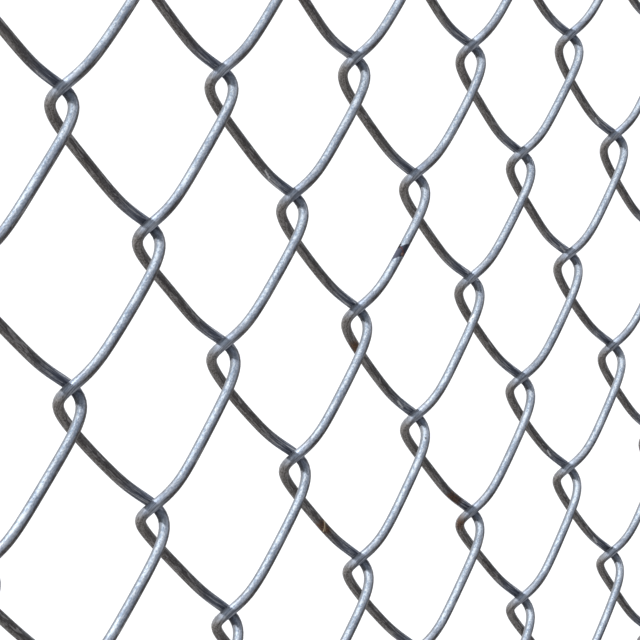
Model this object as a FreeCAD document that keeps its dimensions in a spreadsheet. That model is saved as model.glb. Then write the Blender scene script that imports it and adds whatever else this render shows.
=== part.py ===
"""Short bay of chain link fence: woven wire fabric on two posts and two rails.

Millimetres. The origin is the centre of the left post's foot, +X runs along
the fence to the right post, +Z is up and the fabric faces -Y.
"""
import math
import os

import FreeCAD
import Part
from FreeCAD import Placement, Rotation, Vector

# Driving sizes, one alias each.
SIZES = {
    "mesh_size": 50.0,        # side of one square opening, wire centre to centre
    "wire_dia": 2.8,          # woven wire
    "wire_sides": 5,          # flats on a wire's section, which keeps its area
    "fabric_depth": 15.0,     # thickness of the woven fabric
    "bend_rise": 4.5,         # half height of the turn at each hook
    "knuckle_reach": 7.0,     # first leg of the turned over wire end
    "knuckle_drop": 8.0,      # second leg of the turned over wire end
    "picket_pairs": 9,        # woven wires, counted in pairs
    "diamond_rows": 9,        # openings in the height of the fabric
    "seat_gap": 0.3,          # clearance between seated pieces
    "ground_gap": 60.0,       # ground to the lowest row of hooks
    "post_dia": 48.3,
    "post_wall": 2.6,
    "post_overrun": 20.0,     # post above the highest row of hooks
    "post_to_fabric": 2.0,    # post side to the first row of hooks
    "rail_dia": 26.9,
    "rail_wall": 2.3,
    "rail_inset": 22.0,       # rail axis inside the selvage
    "cup_wall": 2.5,
    "cup_depth": 28.0,
    "tab_thick": 5.0,
    "tab_length": 22.0,
    "band_thick": 1.5,
    "band_height": 20.0,
    "ear_margin": 12.5,       # ear beyond the bar, with room for its bolt
    "bar_thick": 4.5,
    "bar_width": 19.0,
    "bar_overrun": 10.0,
    "cap_wall": 2.0,
    "cap_skirt": 18.0,
    "cap_rise": 7.0,          # conical crown of the cap
    "cap_flat_dia": 22.0,     # flat centre of the crown
    "tie_dia": 2.5,
    "ties_per_rail": 2,
}

# Sizes that follow from the driving ones.
LAYOUT = {
    "diamond": "sizes.mesh_size * sqrt(2)",
    "pitch": "diamond / 2",
    "flat_angle": "360 / sizes.wire_sides",
    "area_factor": "sqrt(2 * pi / (sizes.wire_sides * sin(flat_angle)))",
    "wire_reach": "sizes.wire_dia / 2 * area_factor",
    "corner_reach": "wire_reach * 1.2",
    "hook_reach": "pitch / 2 + wire_reach + sizes.seat_gap / 2",
    "leg_offset": "(sizes.fabric_depth - sizes.wire_dia) / 2",
    "post_radius": "sizes.post_dia / 2",
    "band_bore": "post_radius + sizes.seat_gap",
    "band_radius": "band_bore + sizes.band_thick",
    "fabric_y": "sizes.bar_thick / 2 + sizes.seat_gap - band_bore",
    "first_hook": "post_radius + sizes.post_to_fabric + corner_reach",
    "first_axis": "first_hook + hook_reach",
    "bar_start": "first_hook + wire_reach + sizes.seat_gap",
    "tension_ear": "bar_start + sizes.bar_width + sizes.ear_margin",
    "post_spacing": "2 * first_axis + (2 * sizes.picket_pairs - 1) * pitch",
    "selvage_top": "sizes.ground_gap + sizes.diamond_rows * diamond",
    "post_top": "selvage_top + sizes.post_overrun",
    "rail_radius": "sizes.rail_dia / 2",
    "cup_bore": "rail_radius + sizes.seat_gap",
    "cup_radius": "cup_bore + sizes.cup_wall",
    "rail_y": "fabric_y + leg_offset + corner_reach + sizes.seat_gap + cup_radius",
    "brace_ear": "band_radius + sizes.tab_length",
    "cup_start": "brace_ear + sizes.seat_gap",
    "rail_start": "cup_start + sizes.cup_wall + sizes.seat_gap",
    "top_rail_z": "selvage_top - sizes.rail_inset",
    "bottom_rail_z": "sizes.ground_gap + sizes.rail_inset",
    "tie_reach": "sizes.tie_dia / 2 * area_factor",
    "cap_radius": "band_bore + sizes.cap_wall",
    "crown_base": "post_top + sizes.seat_gap + sizes.cap_wall",
}

ALONG_X = Rotation(Vector(0, 1, 0), 90)

doc = FreeCAD.newDocument("chain_link_bay")
sizes = doc.addObject("Spreadsheet::Sheet", "sizes")
for row, (alias, value) in enumerate(SIZES.items(), 1):
    sizes.set(f"A{row}", alias)
    sizes.set(f"B{row}", str(value))
    sizes.setAlias(f"B{row}", alias)
layout = doc.addObject("Spreadsheet::Sheet", "layout")
for row, (alias, formula) in enumerate(LAYOUT.items(), 1):
    layout.set(f"A{row}", alias)
    layout.set(f"B{row}", f"={formula}")
    layout.setAlias(f"B{row}", alias)
doc.recompute()

finished = []


def size(alias):
    """Value of one cell as a plain number."""
    sheet = sizes if alias in SIZES else layout
    return float(sheet.get(alias))


def bind(item, **formulas):
    """Tie properties to sheet formulas; X, Y and Z stand for the position."""
    for name, formula in formulas.items():
        if name in ("X", "Y", "Z"):
            name = f"Placement.Base.{name.lower()}"
        item.setExpression(name, formula)
    return item


def box(name, **formulas):
    return bind(doc.addObject("Part::Box", name), **formulas)


def rod(name, rotation=None, **formulas):
    """Round bar standing on its base, or turned by the rotation given."""
    item = doc.addObject("Part::Cylinder", name)
    if rotation:
        item.Placement = Placement(Vector(), rotation)
    return bind(item, **formulas)


def cut(name, base, tool):
    item = doc.addObject("Part::Cut", name)
    item.Base = base
    item.Tool = tool
    return item


def fuse(name, pieces):
    item = doc.addObject("Part::MultiFuse", name)
    item.Shapes = pieces
    item.Refine = True
    return item


def keep(item):
    finished.append(item)
    return item


def group(name, pieces):
    """Like pieces that stand apart but are handled as one set."""
    item = doc.addObject("Part::Compound", name)
    item.Links = pieces
    return item


def mirrored(name, source):
    """Same pieces at the right post, mirrored across the middle of the bay."""
    item = doc.addObject("Part::Mirroring", name)
    item.Source = source
    item.Normal = Vector(1, 0, 0)
    item.setExpression("Base.x", "layout.post_spacing / 2")
    return item


def band(name, z, y, half_slot, ear):
    """Strap round the left post whose two ears clasp a flat piece at y."""
    height = "sizes.band_height"
    base = f"{z} - sizes.band_height / 2"
    ring = rod(name + "_ring", Radius="layout.band_radius", Height=height, Z=base)
    ears = [
        box(
            f"{name}_ear_{side}",
            Length=ear,
            Width="sizes.band_thick",
            Height=height,
            Y=f"{y} {shift}",
            Z=base,
        )
        for side, shift in (
            ("front", f"- {half_slot} - sizes.band_thick"),
            ("back", f"+ {half_slot}"),
        )
    ]
    slot = box(
        name + "_slot",
        Length=ear,
        Width=f"2 * ({half_slot})",
        Height=height,
        Y=f"{y} - ({half_slot})",
        Z=base,
    )
    bore = rod(name + "_bore", Radius="layout.band_bore", Height=height, Z=base)
    strap = fuse(name + "_strap", [ring] + ears)
    return cut(name, cut(name + "_open", strap, slot), bore)


def rail_end(name, z):
    """Cup over the end of a rail with a flat tab for the brace band."""
    shell = rod(
        name + "_shell",
        ALONG_X,
        Radius="layout.cup_radius",
        Height="sizes.cup_depth",
        X="layout.cup_start",
        Y="layout.rail_y",
        Z=z,
    )
    bore = rod(
        name + "_bore",
        ALONG_X,
        Radius="layout.cup_bore",
        Height="sizes.cup_depth",
        X="layout.cup_start + sizes.cup_wall",
        Y="layout.rail_y",
        Z=z,
    )
    tab = box(
        name + "_tab",
        Length="layout.cup_start - layout.band_bore",
        Width="sizes.tab_thick",
        Height="sizes.band_height",
        X="layout.band_bore",
        Y="layout.rail_y - sizes.tab_thick / 2",
        Z=f"{z} - sizes.band_height / 2",
    )
    return fuse(name, [cut(name + "_cup", shell, bore), tab])


def rail(name, z):
    """Tube between the two rail ends."""
    length = "layout.post_spacing - 2 * layout.rail_start"
    seat = {"Height": length, "X": "layout.rail_start", "Y": "layout.rail_y", "Z": z}
    tube = rod(name + "_tube", ALONG_X, Radius="layout.rail_radius", **seat)
    bore = rod(
        name + "_bore", ALONG_X, Radius="layout.rail_radius - sizes.rail_wall", **seat
    )
    return cut(name, tube, bore)


def wire(name, points, radius):
    """Straight lengths of wire mitred together along the points."""
    path = doc.addObject("Part::Polygon", name + "_path")
    path.Nodes = points
    section = doc.addObject("Part::RegularPolygon", name + "_section")
    bind(section, Polygon="sizes.wire_sides", Circumradius=radius)
    facing = Rotation(Vector(0, 0, 1), points[1] - points[0])
    section.Placement = Placement(points[0], facing)
    doc.recompute([path, section])
    item = doc.addObject("Part::Sweep", name)
    item.Sections = [section]
    item.Spine = (path, [])
    item.Solid = True
    item.Transition = "Right corner"
    return item


def picket_points():
    """Flattened helix of one woven wire, downwards, with both ends knuckled.

    Each hook crosses from one face of the fabric to the other, so the leg
    behind falls to the right and the leg in front falls to the left.
    """
    reach = size("hook_reach")
    depth = size("leg_offset")
    rise = size("bend_rise")
    top = size("selvage_top")
    inner = reach - size("knuckle_reach")
    tip = inner - size("knuckle_drop") * 0.35
    lift = rise + size("knuckle_reach") * 0.2
    drop = size("knuckle_drop")
    points = []
    turns = 2 * int(size("diamond_rows"))
    for turn in range(turns + 1):
        side = 1 if turn % 2 else -1
        height = top - turn * size("pitch")
        points.append(Vector(side * reach, side * depth, height + rise))
        points.append(Vector(side * reach, -side * depth, height - rise))
    bottom = size("ground_gap")
    head = [
        Vector(-tip, -depth, top + lift - drop),
        Vector(-inner, -depth, top + lift),
    ]
    foot = [
        Vector(-inner, depth, bottom - lift),
        Vector(-tip, depth, bottom - lift + drop),
    ]
    return head + points + foot


def tie_points(x, z):
    """Tie wire from in front of one leg of the fabric round the back of a rail."""
    gap = size("seat_gap")
    thick = size("tie_reach") * 1.1
    leg = size("fabric_y") + size("leg_offset")
    front = leg - size("corner_reach") - gap - thick
    half = size("corner_reach") * 1.1 + gap + thick
    middle = size("rail_y")
    swing = 56
    radius = (size("rail_radius") + gap + thick) / math.cos(math.radians(swing / 2))
    flat = [(leg + 1.5, -half), (front, -half / 2), (front, half / 2), (leg + 2, half)]
    for step in range(6):
        angle = math.radians(2.5 * swing - step * swing)
        flat.append((middle + radius * math.cos(angle), radius * math.sin(angle)))
    flat.append((leg + 4.5, -half - thick * 1.5))
    return [Vector(x, y, z + up) for y, up in flat]


def ties(name, turned, z):
    """Ties spread along one rail, each on a leg that falls behind."""
    pairs = int(size("picket_pairs"))
    number = int(size("ties_per_rail"))
    run = (size("rail_inset") - size("bend_rise")) / (
        size("pitch") - 2 * size("bend_rise")
    )
    along = size("hook_reach") * (2 * run - 1)
    pieces = []
    for index in range(number):
        picket = 2 * int((index + 0.5) * pairs / number) + (1 if turned else 0)
        axis = size("first_axis") + picket * size("pitch")
        x = axis - along if turned else axis + along
        points = tie_points(x, size(z))
        pieces.append(wire(f"{name}_{index + 1}", points, "layout.tie_reach"))
    return group(name, pieces)


# Posts, open at the foot and closed by caps.
post = cut(
    "left_post",
    rod("left_post_tube", Radius="layout.post_radius", Height="layout.post_top"),
    rod(
        "left_post_bore",
        Radius="layout.post_radius - sizes.post_wall",
        Height="layout.post_top",
    ),
)
keep(post)
keep(mirrored("right_post", post))

skirt_base = "layout.crown_base - sizes.cap_wall - sizes.cap_skirt"
crown = bind(
    doc.addObject("Part::Cone", "left_post_cap_crown"),
    Radius1="layout.cap_radius",
    Radius2="sizes.cap_flat_dia / 2",
    Height="sizes.cap_rise",
    Z="layout.crown_base",
)
skirt = rod(
    "left_post_cap_skirt",
    Radius="layout.cap_radius",
    Height="sizes.cap_skirt + sizes.cap_wall",
    Z=skirt_base,
)
socket = rod(
    "left_post_cap_socket",
    Radius="layout.band_bore",
    Height="sizes.cap_skirt",
    Z=skirt_base,
)
cap = cut("left_post_cap", fuse("left_post_cap_solid", [crown, skirt]), socket)
keep(group("post_caps", [cap, mirrored("right_post_cap", cap)]))

# Rails, their ends and the bands that hold the ends to the posts.
left_ends = []
left_braces = []
for level in ("top", "bottom"):
    rail_z = f"layout.{level}_rail_z"
    keep(rail(f"{level}_rail", rail_z))
    left_ends.append(rail_end(f"{level}_left_rail_end", rail_z))
    left_braces.append(
        band(
            f"{level}_left_brace_band",
            rail_z,
            "layout.rail_y",
            "(sizes.tab_thick / 2 + sizes.seat_gap)",
            "layout.brace_ear",
        )
    )
rail_ends = keep(group("left_rail_ends", left_ends))
keep(mirrored("right_rail_ends", rail_ends))
braces = keep(group("left_brace_bands", left_braces))
keep(mirrored("right_brace_bands", braces))

# Tension bars threaded through the end hooks, and the bands that hold them.
bar = box(
    "left_tension_bar",
    Length="sizes.bar_width",
    Width="sizes.bar_thick",
    Height="layout.selvage_top - sizes.ground_gap + 2 * sizes.bar_overrun",
    X="layout.bar_start",
    Y="layout.fabric_y - sizes.bar_thick / 2",
    Z="sizes.ground_gap - sizes.bar_overrun",
)
keep(bar)
keep(mirrored("right_tension_bar", bar))
left_clasps = [
    band(
        f"{level}_left_tension_band",
        f"({selvage} 1.5 * layout.diamond)",
        "layout.fabric_y",
        "(sizes.bar_thick / 2 + sizes.seat_gap)",
        "layout.tension_ear",
    )
    for level, selvage in (("top", "layout.selvage_top -"), ("bottom", "sizes.ground_gap +"))
]
clasps = keep(group("left_tension_bands", left_clasps))
keep(mirrored("right_tension_bands", clasps))

# Ties hold the fabric to the rails.
keep(ties("top_rail_ties", False, "top_rail_z"))
keep(ties("bottom_rail_ties", True, "bottom_rail_z"))

# Woven wires, all alike, every other one turned half round.
helix = picket_points()
for index in range(2 * int(size("picket_pairs"))):
    picket = wire(f"picket_{index + 1:02d}", helix, "layout.wire_reach")
    picket.Placement.Rotation = Rotation(Vector(0, 0, 1), 180 * (index % 2))
    bind(
        picket,
        X=f"layout.first_axis + {index} * layout.pitch",
        Y="layout.fabric_y",
    )
    keep(picket)

doc.recompute()
for item in doc.Objects:
    if "Invalid" in item.State or "Error" in item.State:
        raise RuntimeError(f"{item.Label} did not build")
for item in finished:
    if item.Shape.isNull() or not item.Shape.isValid():
        raise RuntimeError(f"{item.Label} has no valid shape")

os.makedirs("parts", exist_ok=True)
for item in finished:
    item.Shape.exportStep(f"parts/{item.Label}.step")
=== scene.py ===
"""Chain link fence bay: smooth woven wires, posts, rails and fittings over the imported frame."""
import math

import bpy
import numpy as np
from mathutils import Matrix, Vector


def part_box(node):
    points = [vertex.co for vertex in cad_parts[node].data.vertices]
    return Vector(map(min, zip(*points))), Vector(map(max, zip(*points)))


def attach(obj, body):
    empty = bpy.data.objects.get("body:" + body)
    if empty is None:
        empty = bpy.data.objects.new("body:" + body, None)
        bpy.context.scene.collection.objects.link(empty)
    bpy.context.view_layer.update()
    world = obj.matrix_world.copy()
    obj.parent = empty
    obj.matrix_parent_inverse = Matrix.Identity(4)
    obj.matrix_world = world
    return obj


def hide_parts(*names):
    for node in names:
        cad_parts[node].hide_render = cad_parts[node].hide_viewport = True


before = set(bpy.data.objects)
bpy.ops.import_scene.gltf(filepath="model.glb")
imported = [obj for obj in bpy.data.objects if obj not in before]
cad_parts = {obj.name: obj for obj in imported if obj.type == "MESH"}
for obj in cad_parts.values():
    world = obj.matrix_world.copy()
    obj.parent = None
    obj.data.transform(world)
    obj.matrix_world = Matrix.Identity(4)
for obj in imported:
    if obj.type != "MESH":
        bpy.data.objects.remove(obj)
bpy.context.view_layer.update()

MM = 0.001
TINY = 1e-6
X_AXIS, Y_AXIS, Z_AXIS = np.eye(3)
SHARP_ANGLE = 50.0

# Woven wire, with its knuckles' turn in radians and the shift of its pattern from wire to wire
WIRE_RADIUS = 1.4 * MM
LEG_DEPTH = 6.03 * MM
BEND_SHARPNESS = 0.966
CROSSING_STEEPNESS = 2.18
KNUCKLE_TURN = 0.9
KNUCKLE_DROP = 2.0 * MM
KNUCKLE_STEPS = 24
STEPS_PER_TURN = 72
WIRE_SIDES = 16
PATTERN_SHIFT = 0.37

# Unevenness of the weave, with the span of a hook in half turns
WEAVE_SEED = 21
KNOT_SHIFT = np.array([0.5, 0.2, 0.6]) * MM
LEG_BOW = np.array([0.7, 0.0, 0.0]) * MM
HOOK_SLACK = 1.6 * MM
HOOK_SPAN = 0.13

# Tubes
POST_WALL = 2.6 * MM
RAIL_WALL = 2.3 * MM
TUBE_SIDES = 72
TUBE_EDGE = 0.5 * MM
SEAT_GAP = 0.3 * MM

# Straps round the posts
BAND_THICK = 1.5 * MM
BAND_HEIGHT = 20.0 * MM
BAND_EDGE = 0.45 * MM
BAND_EDGE_STEPS = 3
BAND_BEND = 4.0 * MM
BAND_BEND_STEPS = 40
BAND_RING_STEPS = 400
BAND_STATIONS = 190
EAR_STEPS = 60
EAR_CORNER = 4.0 * MM
EAR_STATIONS = EAR_CORNER * (1 - np.cos(np.linspace(0, np.pi / 2, 7)))

# Flat tabs and bars
TAB_THICK = 5.0 * MM
TAB_EDGE = 1.2 * MM
TAB_MIDDLE = 0.6
BAR_EDGE = 0.8 * MM
BAR_INSETS = np.array([0, 0.15, 0.5, 1.0]) * BAR_EDGE
BAR_LEVELS = np.linspace(0.1, 0.9, 9)

# Turned cups and caps, with the share of the radius that is left at a pole
POLE = 0.02
CUP_WALL = 2.5 * MM
CUP_WALL_START = 5.6 * MM
CUP_SHOULDER = 4.0 * MM
CUP_BASE_SHARE = 0.5
CUP_FLOOR_EDGE = 3.0 * MM
CUP_FLOOR_SHARE = 0.97
CUP_STEPS = 9
CAP_SKIRT_WALL = 1.3 * MM
CAP_SHOULDER = 2.5 * MM
CAP_SHOULDER_EASE = 1.5 * MM
CAP_SHOULDER_LIFT = 0.5 * MM
CAP_EASE_STEPS = 6
CAP_BEAD = 1.1 * MM
CAP_BEAD_TOP = 2.86 * MM
CAP_BEAD_START = 0.45 * np.pi
CAP_BEAD_STEPS = 12
CAP_RISE = 7.0 * MM
CAP_FLAT_RADIUS = 11.0 * MM

# Tie wires, with their overlap in radians
TIE_RADIUS = 1.25 * MM
TIE_SIDES = 14
TIE_OVERLAP = 2.4
TIE_LEG_RADIUS = 1.75 * MM
TIE_LEAN = 1.05 * TIE_RADIUS
TIE_LAP_STEPS = 40
TIE_RAIL_STEPS = 120
TIE_RINGS = 240

# Carriage bolts, with a nut's rings as shares of its thickness and of half its flats
BOLT_RADIUS = 3.0 * MM
BOLT_SIDES = 48
BOLT_RINGS = 60
BOLT_HEAD_RADIUS = 6.2 * MM
BOLT_HEAD_RISE = 2.8 * MM
BOLT_HEAD_EDGE = 0.3 * MM
BOLT_HEAD_SEAT = 0.1 * MM
BOLT_HEAD_SIDES = 40
BOLT_HEAD_STEPS = 10
BOLT_PITCH = 1.0 * MM
BOLT_THREAD = 0.32 * MM
BOLT_POINT = 0.6 * MM
BOLT_POINT_TAPER = 1.6
BOLT_PROUD = 2.6 * MM
NUT_FLATS = 10.0 * MM
NUT_THICK = 4.6 * MM
NUT_RISE = np.array([0, 0, 0.08, 0.2, 0.8, 0.92, 1, 1])
NUT_CONE = np.array([0.6, 0.95, 1.06, 1.16, 1.16, 1.06, 0.95, 0.6])

# Photograph: its nearest knot column and row, counted from the bay's left top
PHOTO_COLUMN = 4
PHOTO_ROW = 4
PHOTO_PIXELS = 640
FOCAL_PIXELS = 2848.9
CAMERA_FROM_KNOT = (-7.7674, -5.4081, 0.6566)
CAMERA_YAW = 1.0523
CAMERA_PITCH = -0.14951
CAMERA_ROLL = -0.00855
SENSOR = 36.0
CLIP_START = 0.01
CLIP_END = 200.0

# Light and floor
SUN_FROM = (-0.65, 0.33, 0.70)
SUN_POWER = 3.65
SUN_ANGLE = 1.2
FILL_FROM = (0.91, -0.22, 0.36)
FILL_POWER = 1.0
FILL_ANGLE = 40.0
FLOOR_HALF = 60.0
FLOOR_ROUGHNESS = 0.95

# Side of the wires that rain and wind keep clean and that faces the key lamp, pale there partly from
# weathering and partly as painted light, and the steps of its cleaning
LIT_WEATHER_SIDE = (-0.706, 0.045, 0.70)
WASHED_AND_LIT_STEP = (-0.05, 0.50)
RINSED_AND_LIT_STEP = (0.66, 0.96)
BLEACHED_AND_LIT_STEP = (0.60, 0.95)

# Marks on the wires: the picket and the turns below its top hook
# The scar's dark band is painted shadow, with a rust line, a spot and a nick in it
SCARS = (("picket_09", 4.784),)
RUST_SPOTS = (
    ("picket_08", 5.832), ("picket_09", 5.157), ("picket_10", 5.925), ("picket_11", 6.043),
)
BRIGHT_CHIPS = (
    ("picket_07", 4.396), ("picket_09", 5.434), ("picket_10", 5.150), ("picket_12", 4.964),
    ("picket_12", 5.905), ("picket_13", 4.410), ("picket_13", 6.420),
)
SCRATCHES = (("picket_08", 5.832),)
PITS = (("picket_09", 5.583),)
MARK_SIDE = (-0.87, -0.48, 0.14)
MARK_ACROSS = (0.40, -0.83, -0.39)
SCRATCH_ACROSS = (-0.48, 0.735, -0.475)
FAR_FROM_MARKS = 1.0
MM_PER_METRE = 1000

# Full and faded half sizes of the marks: lengths in millimetres, widths as shares of the radius
CHIP_LENGTH = (1.3, 2.0)
CHIP_WIDTH = (0.12, 0.26)
PIT_LENGTH = (0.2, 0.5)
PIT_WIDTH = (0.10, 0.26)
STAIN_LENGTH = (1.5, 5.0)
SCRATCH_LENGTH = (1.4, 1.9)
SCRATCH_WIDTH = (0.06, 0.16)
FAINT_SCRATCH_WIDTH = (0.03, 0.12)
SCAR_SHADOW_LENGTH = (2.3, 2.7)
SCAR_LINE_LENGTH = (0.8, 1.2)
SCAR_LINE_WIDTH = (0.12, 0.28)
SCAR_SPOT_LENGTH = (0.2, 0.7)
SCAR_SPOT_WIDTH = (0.1, 0.35)
SCAR_NICK_LENGTH = (0.7, 1.1)

# Dirt, wear, painted shade and painted shadow near the knots: turns from the left hook, and their
# spread in turns
HOOK_DIRT_AND_SHADE = (0.0, 0.085)
CROSSING_DIRT_AND_SHADE = (0.465, 0.06)
KNOT_RUB_AND_SHADOW = (-0.022, 0.022)
KNOT_SHADOW_POCKET = (0.502, 0.026)

# How far mottling, dirt, painted shade and painted shadow shift the washing of the wires
MOTTLE_SOIL = 0.5
HOOK_SOIL_AND_SHADE = 0.36
CROSSING_SOIL_AND_SHADE = 0.85
POCKET_SHADOW_DULLING = 0.4

# How far each layer on the wires covers the one below it
SKY_SHADE_COVER = 0.5
BLOOM_HIGHLIGHT_COVER = 0.7
REAR_SHADE_COVER = 0.88
FRONT_SHADE_COVER = 0.68
WORN_COVER = 0.8
MUD_AND_SHADE_COVER = 0.5
CROSSING_COVER = 0.8
KNOT_SHADOW_COVER = 0.85
POCKET_SHADOW_COVER = 0.85
PIT_COVER = 0.8
STAIN_COVER = 0.85

# Noise cells per metre, across a piece and along it
WIRE_SPECKLE = (2600, 1500)
WIRE_BLOOM = (1400, 760)
WIRE_MOTTLE = (420, 170)
WIRE_STREAK = (2400, 130)
WIRE_WEAR = (1800, 200)
SHEET_CLOUD = (30, 12)
SHEET_GRAIN = (1500, 1500)
SHEET_RAIN = (160, 4)
CAST_PITS = (900, 900)
CAST_CLOUD = (60, 30)
TIE_SCRATCH = (2600, 120)
TIE_CLOUD = (220, 160)
BOLT_CLOUD = (420, 420)
BOLT_GRAIN = (2200, 2200)

# Noise detail and roughness, its mean, and the steps that most of it lies between
PLAIN = 2.0
BROKEN = 3.0
RICH = 4.0
NOISE_ROUGHNESS = 0.55
NOISE_MEAN = 0.5
NOISE_MIDDLE = (0.40, 0.60)
NOISE_BROAD = (0.35, 0.68)

# Zinc on tube, strip and bolts, with lengths in metres
TUBE_SPANGLE = 6 * MM
STRIP_SPANGLE = 3 * MM
SPANGLE_WARP = 0.35
DIRT_HEIGHT = 0.11
DIRT_RAGGED = 0.08
SHEET_BLOOM_COVER = 0.45
SHEET_DIRT_COVER = 0.55
BOLT_RUST_COVER = 0.8


def shade(red, green, blue):
    """Colour with full alpha."""
    return (red, green, blue, 1.0)


# Colours of the woven wire
ZINC_DARK = shade(0.35, 0.44, 0.57)
ZINC_PALE = shade(0.77, 0.86, 0.96)
# Painted blue sky shade on the side away from the key lamp
ZINC_SKY_SHADE = shade(0.37, 0.47, 0.67)
# Pale zinc bloom, as painted highlight patches on the lit side
ZINC_BLOOM_HIGHLIGHT = shade(0.90, 0.94, 0.97)
# Painted shade on the rear side of the wires
ZINC_REAR_SHADE = shade(0.19, 0.205, 0.23)
# The lee side, away from the key lamp: partly grime and partly painted shade
GRIME_AND_SHADE_DARK = shade(0.145, 0.133, 0.126)
GRIME_AND_SHADE_PALE = shade(0.435, 0.42, 0.41)
# Painted shade on the front side of the wires
FRONT_SHADE = shade(0.062, 0.058, 0.062)
GRIME_WORN = shade(0.46, 0.45, 0.45)
# Mud and painted shade in the left hooks
MUD_AND_SHADE_DARK = shade(0.15, 0.133, 0.122)
MUD_AND_SHADE_PALE = shade(0.32, 0.305, 0.295)
# Dirt and painted blue shade behind the crossings, with pale dashes of wear
CROSSING_DARK = shade(0.19, 0.215, 0.285)
CROSSING_PALE = shade(0.50, 0.56, 0.69)
CROSSING_DASH = shade(0.92, 0.94, 0.97)
# Painted blue shadow with pale rubbed streaks beside the left hooks
KNOT_SHADOW_DARK = shade(0.25, 0.29, 0.37)
KNOT_SHADOW_PALE = shade(0.64, 0.70, 0.80)
# Painted shadow on top of the right hooks
POCKET_SHADOW_DARK = shade(0.06, 0.07, 0.105)

# Colours of the marks
CHIP_BRIGHT = shade(0.92, 0.93, 0.94)
PIT_DARK = shade(0.10, 0.09, 0.085)
STAIN_DARK = shade(0.07, 0.04, 0.028)
STAIN_BROWN = shade(0.20, 0.095, 0.04)
SCRATCH_PALE = shade(1.0, 0.82, 0.56)
# The scar's band is painted shadow, darker on one side
SCAR_SHADOW_BLUE = shade(0.105, 0.11, 0.15)
SCAR_SHADOW_BLACK = shade(0.04, 0.044, 0.064)
SCAR_LINE = shade(0.13, 0.055, 0.05)
SCAR_SPOT = shade(0.31, 0.185, 0.15)
SCAR_NICK = shade(0.02, 0.02, 0.022)

# Colours of tube, strip, castings, ties and bolts
TUBE_PALE = shade(0.42, 0.44, 0.47)
TUBE_DARK = shade(0.24, 0.26, 0.29)
STRIP_PALE = shade(0.40, 0.415, 0.435)
STRIP_DARK = shade(0.22, 0.235, 0.255)
SHEET_BLOOM = shade(0.50, 0.51, 0.51)
SHEET_DIRT = shade(0.20, 0.165, 0.125)
CAST_DARK = shade(0.27, 0.28, 0.29)
CAST_PALE = shade(0.48, 0.49, 0.50)
TIE_DARK = shade(0.30, 0.31, 0.32)
TIE_PALE = shade(0.55, 0.56, 0.57)
BOLT_DARK = shade(0.34, 0.34, 0.34)
BOLT_PALE = shade(0.60, 0.60, 0.58)
BOLT_RUST = shade(0.26, 0.11, 0.045)

# Colours of the surround
WHITE = shade(1.0, 1.0, 1.0)
BLACK = shade(0.0, 0.0, 0.0)
SKY_FILL = shade(0.075, 0.09, 0.12)
FLOOR_GLOW = shade(0.12, 0.12, 0.12)
FLOOR_BOUNCE = shade(0.46, 0.44, 0.42)


def corners(node):
    """Lowest and highest corner of a CAD node."""
    low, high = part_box(node)
    return np.array(low), np.array(high)


def middle_of(node):
    """Middle of a CAD node's box."""
    low, high = corners(node)
    return (low + high) / 2


def span_of(node):
    """Size of a CAD node's box."""
    low, high = corners(node)
    return high - low


def ends_of(node, hand):
    """First and last x of a CAD node, for hand 1 towards +X and for hand -1 towards -X."""
    low, high = corners(node)
    return (low[0], high[0]) if hand > 0 else (high[0], low[0])


pickets = sorted(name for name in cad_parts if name.startswith("picket_"))
AXES = np.array([middle_of(name) for name in pickets])
PITCH = AXES[1, 0] - AXES[0, 0]
DIAMOND = 2 * PITCH
FABRIC_Y = AXES[0, 1]
HOOK_REACH = PITCH / 2 + WIRE_RADIUS
ROWS = int(span_of(pickets[0])[2] / DIAMOND)
SELVAGE_TOP = AXES[0, 2] + ROWS * PITCH


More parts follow.
